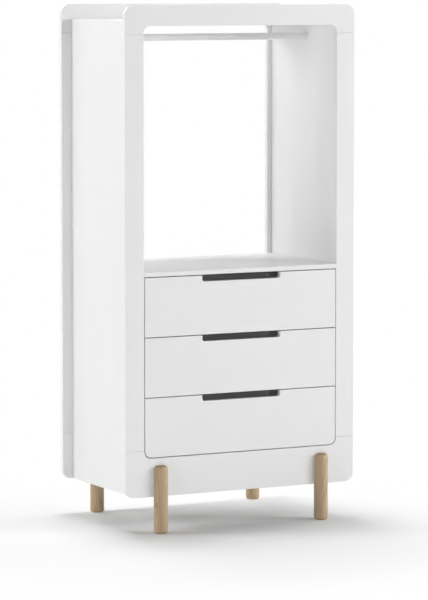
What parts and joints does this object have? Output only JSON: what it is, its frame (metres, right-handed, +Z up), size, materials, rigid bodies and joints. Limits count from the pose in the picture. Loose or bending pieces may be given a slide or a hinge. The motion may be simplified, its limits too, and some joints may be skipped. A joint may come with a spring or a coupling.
{
  "type": "children's open wardrobe with drawers",
  "caption": "Open wardrobe for a child's room: a hanging space with a round rail over flush drawers, between rounded frames on round wooden legs.",
  "frame": {"origin": "on the floor, in the middle of the width and of the whole depth with the legs", "axes": "+X to the right seen from the front, +Y to the back (the drawers open towards -Y), +Z up"},
  "size_m": [0.908, 0.568, 1.84],
  "materials": {
    "white_lacquer": "satin white lacquer on fibreboard",
    "white_board": "matt white melamine-faced board",
    "white_steel": "satin white powder coat",
    "white_nylon": "moulded, matt",
    "beech": "natural beech, matt clear oil",
    "zinc_steel": "zinc-plated sheet steel"
  },
  "bodies": {
    "cabinet": {"front_top_rail": "white_lacquer", "front_bottom_rail": "white_lacquer", "front_left_stile": "white_lacquer", "front_right_stile": "white_lacquer", "back_top_rail": "white_lacquer", "back_bottom_rail": "white_lacquer", "back_left_stile": "white_lacquer", "back_right_stile": "white_lacquer", "left_side_panel": "white_lacquer", "right_side_panel": "white_lacquer", "top_panel": "white_lacquer", "drawer_deck": "white_lacquer", "bottom_panel": "white_board", "lower_back_panel": "white_board", "left_runner_packer": "white_board", "right_runner_packer": "white_board", "hanging_rail": "white_steel", "left_rail_plug": "white_nylon", "right_rail_plug": "white_nylon", "front_left_leg": "beech", "front_right_leg": "beech", "rear_left_leg": "beech", "rear_right_leg": "beech", "front_left_leg_bolt": "zinc_steel", "front_right_leg_bolt": "zinc_steel", "rear_left_leg_bolt": "zinc_steel", "rear_right_leg_bolt": "zinc_steel", "upper_drawer_left_cabinet_member": "zinc_steel", "upper_drawer_right_cabinet_member": "zinc_steel", "middle_drawer_left_cabinet_member": "zinc_steel", "middle_drawer_right_cabinet_member": "zinc_steel", "lower_drawer_left_cabinet_member": "zinc_steel", "lower_drawer_right_cabinet_member": "zinc_steel"},
    "upper_drawer": {"upper_drawer_front": "white_lacquer", "upper_drawer_left_side": "white_board", "upper_drawer_right_side": "white_board", "upper_drawer_back": "white_board", "upper_drawer_bottom": "white_board", "upper_drawer_left_drawer_member": "zinc_steel", "upper_drawer_right_drawer_member": "zinc_steel"},
    "upper_ball_cages": {"upper_drawer_left_ball_cage": "zinc_steel", "upper_drawer_right_ball_cage": "zinc_steel"},
    "middle_drawer": {"middle_drawer_front": "white_lacquer", "middle_drawer_left_side": "white_board", "middle_drawer_right_side": "white_board", "middle_drawer_back": "white_board", "middle_drawer_bottom": "white_board", "middle_drawer_left_drawer_member": "zinc_steel", "middle_drawer_right_drawer_member": "zinc_steel"},
    "middle_ball_cages": {"middle_drawer_left_ball_cage": "zinc_steel", "middle_drawer_right_ball_cage": "zinc_steel"},
    "lower_drawer": {"lower_drawer_front": "white_lacquer", "lower_drawer_left_side": "white_board", "lower_drawer_right_side": "white_board", "lower_drawer_back": "white_board", "lower_drawer_bottom": "white_board", "lower_drawer_left_drawer_member": "zinc_steel", "lower_drawer_right_drawer_member": "zinc_steel"},
    "lower_ball_cages": {"lower_drawer_left_ball_cage": "zinc_steel", "lower_drawer_right_ball_cage": "zinc_steel"}
  },
  "joints": [
    {"name": "upper_drawer_slide", "type": "slide", "parent": "cabinet", "child": "upper_drawer", "axis": [0, -1, 0], "range_m": [0, 0.34]},
    {"name": "upper_ball_cages_roll", "type": "slide", "parent": "cabinet", "child": "upper_ball_cages", "axis": [0, -1, 0], "range_m": [0, 0.17]},
    {"name": "middle_drawer_slide", "type": "slide", "parent": "cabinet", "child": "middle_drawer", "axis": [0, -1, 0], "range_m": [0, 0.34]},
    {"name": "middle_ball_cages_roll", "type": "slide", "parent": "cabinet", "child": "middle_ball_cages", "axis": [0, -1, 0], "range_m": [0, 0.17]},
    {"name": "lower_drawer_slide", "type": "slide", "parent": "cabinet", "child": "lower_drawer", "axis": [0, -1, 0], "range_m": [0, 0.34]},
    {"name": "lower_ball_cages_roll", "type": "slide", "parent": "cabinet", "child": "lower_ball_cages", "axis": [0, -1, 0], "range_m": [0, 0.17]}
  ],
  "couplings": [
    {"joint": "upper_ball_cages_roll", "follows": "upper_drawer_slide", "ratio": 0.5},
    {"joint": "middle_ball_cages_roll", "follows": "middle_drawer_slide", "ratio": 0.5},
    {"joint": "lower_ball_cages_roll", "follows": "lower_drawer_slide", "ratio": 0.5}
  ]
}
